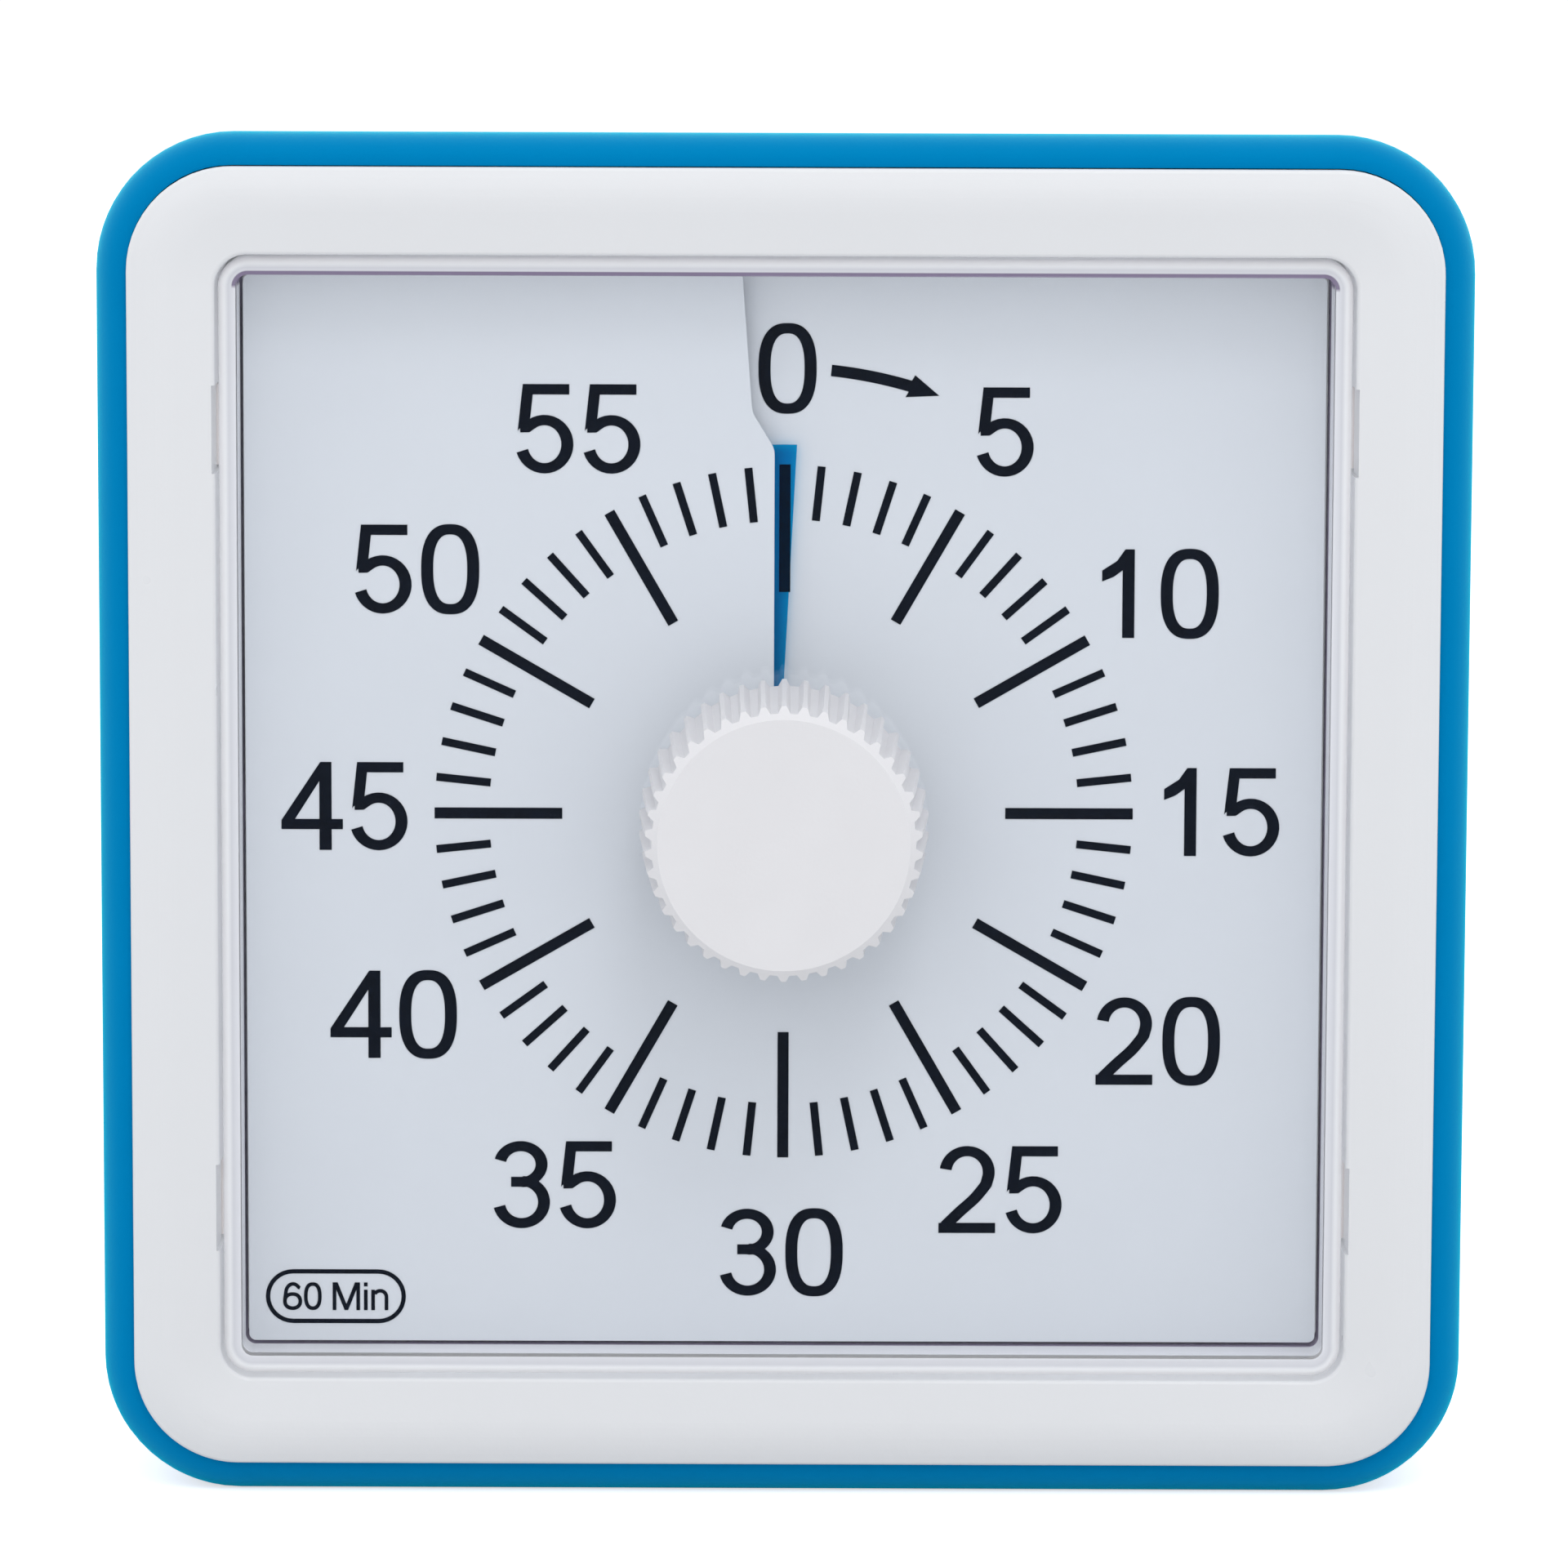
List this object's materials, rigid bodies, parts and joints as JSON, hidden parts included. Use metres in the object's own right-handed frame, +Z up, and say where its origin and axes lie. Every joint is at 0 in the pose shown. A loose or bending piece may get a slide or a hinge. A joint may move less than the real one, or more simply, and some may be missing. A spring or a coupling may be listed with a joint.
{
  "type": "visual countdown timer",
  "caption": "Square free-standing visual countdown timer: fluted knob, blue film disc wound through a slit in a printed dial, clear lens, battery movement.",
  "frame": {"origin": "middle of the flat underside, on the surface that the timer stands on", "axes": "+Z up, -Y out of the dial towards the viewer, +X to the right seen from the front"},
  "size_m": [0.078, 0.0368, 0.078],
  "materials": {
    "white_bezel": "smooth moulded ABS, satin",
    "blue_shell": "smooth moulded ABS, satin",
    "clear_lens": "clear moulded polystyrene, polished",
    "dial_print": "white printed sheet",
    "blue_film": "thin blue film",
    "knob_white": "white moulded ABS, slightly translucent",
    "natural_acetal": "natural acetal",
    "black_abs": "black moulded ABS",
    "grey_abs": "grey moulded ABS",
    "steel": "turned or stamped steel",
    "zinc_steel": "zinc-plated steel",
    "nickel": "nickel-plated spring steel",
    "brass_part": "turned brass",
    "bronze_strip": "phosphor bronze",
    "silicon_iron": "stamped silicon steel",
    "copper_winding": "enamelled copper wire",
    "board_green": "green solder mask on glass epoxy",
    "chip_black": "black epoxy",
    "buzzer_black": "black plastic case",
    "cell_sleeve": "printed sleeve on a steel can"
  },
  "bodies": {
    "case": {"front_frame": "white_bezel", "rear_housing": "blue_shell", "lens": "clear_lens", "dial_card": "dial_print", "spindle_bush": "brass_part", "carrier_plate": "grey_abs", "movement_base": "black_abs", "movement_cover": "black_abs", "stator": "silicon_iron", "coil_core": "silicon_iron", "coil": "copper_winding", "circuit_board": "board_green", "quartz_crystal": "zinc_steel", "control_chip": "chip_black", "buzzer": "buzzer_black", "zero_contacts": "bronze_strip", "volume_switch": "steel", "alarm_switch": "steel", "aa_cell": "cell_sleeve", "cell_spring": "nickel", "cell_plate": "nickel", "case_screws": "zinc_steel", "carrier_screws": "zinc_steel", "movement_screws": "zinc_steel", "board_screws": "zinc_steel"},
    "dial": {"knob": "knob_white", "spindle": "steel", "disc_hub": "natural_acetal", "hub_collar": "natural_acetal", "time_disc": "blue_film", "zero_cam": "natural_acetal", "clutch_spring": "nickel", "clutch_clip": "steel"},
    "centre_wheel": {"centre_wheel": "natural_acetal"},
    "third_wheel": {"third_wheel": "natural_acetal"},
    "second_wheel": {"second_wheel": "natural_acetal"},
    "intermediate_wheel": {"intermediate_wheel": "natural_acetal"},
    "rotor": {"rotor": "natural_acetal"},
    "battery_door": {"battery_door": "blue_shell"},
    "volume_slider": {"volume_slider": "black_abs"},
    "alarm_slider": {"alarm_slider": "black_abs"}
  },
  "joints": [
    {"name": "dial_turn", "type": "hinge", "parent": "case", "child": "dial", "pos_m": [0, -0.014, 0.039], "axis": [0, 1, 0], "range_deg": [0, 360], "deforming": ["time_disc"]},
    {"name": "centre_turn", "type": "hinge", "parent": "case", "child": "centre_wheel", "pos_m": [0, -0.0019, 0.039], "axis": [0, 1, 0], "range_deg": [0, 360]},
    {"name": "third_turn", "type": "hinge", "parent": "case", "child": "third_wheel", "pos_m": [-0.00846, 0.0014, 0.03592], "axis": [0, 1, 0], "range_deg": [-2880, 0]},
    {"name": "second_turn", "type": "hinge", "parent": "case", "child": "second_wheel", "pos_m": [-0.01136, 0.0014, 0.04391], "axis": [0, 1, 0], "range_deg": [0, 21600]},
    {"name": "intermediate_turn", "type": "hinge", "parent": "case", "child": "intermediate_wheel", "pos_m": [-0.00466, 0.0014, 0.04953], "axis": [0, 1, 0], "range_deg": [-129600, 0]},
    {"name": "rotor_turn", "type": "hinge", "parent": "case", "child": "rotor", "pos_m": [0.00281, 0.0014, 0.04888], "axis": [0, 1, 0], "range_deg": [0, 648000]},
    {"name": "door_hinge", "type": "hinge", "parent": "case", "child": "battery_door", "pos_m": [0.0282, 0.013, 0.012], "axis": [0, 0, -1], "range_deg": [0, 90]},
    {"name": "volume_slide", "type": "slide", "parent": "case", "child": "volume_slider", "axis": [1, 0, 0], "range_m": [0, 0.002]},
    {"name": "alarm_slide", "type": "slide", "parent": "case", "child": "alarm_slider", "axis": [1, 0, 0], "range_m": [0, 0.004]}
  ],
  "couplings": [
    {"joint": "centre_turn", "follows": "dial_turn", "ratio": 1},
    {"joint": "third_turn", "follows": "dial_turn", "ratio": -8},
    {"joint": "second_turn", "follows": "dial_turn", "ratio": 60},
    {"joint": "intermediate_turn", "follows": "dial_turn", "ratio": -360},
    {"joint": "rotor_turn", "follows": "dial_turn", "ratio": 1800}
  ]
}
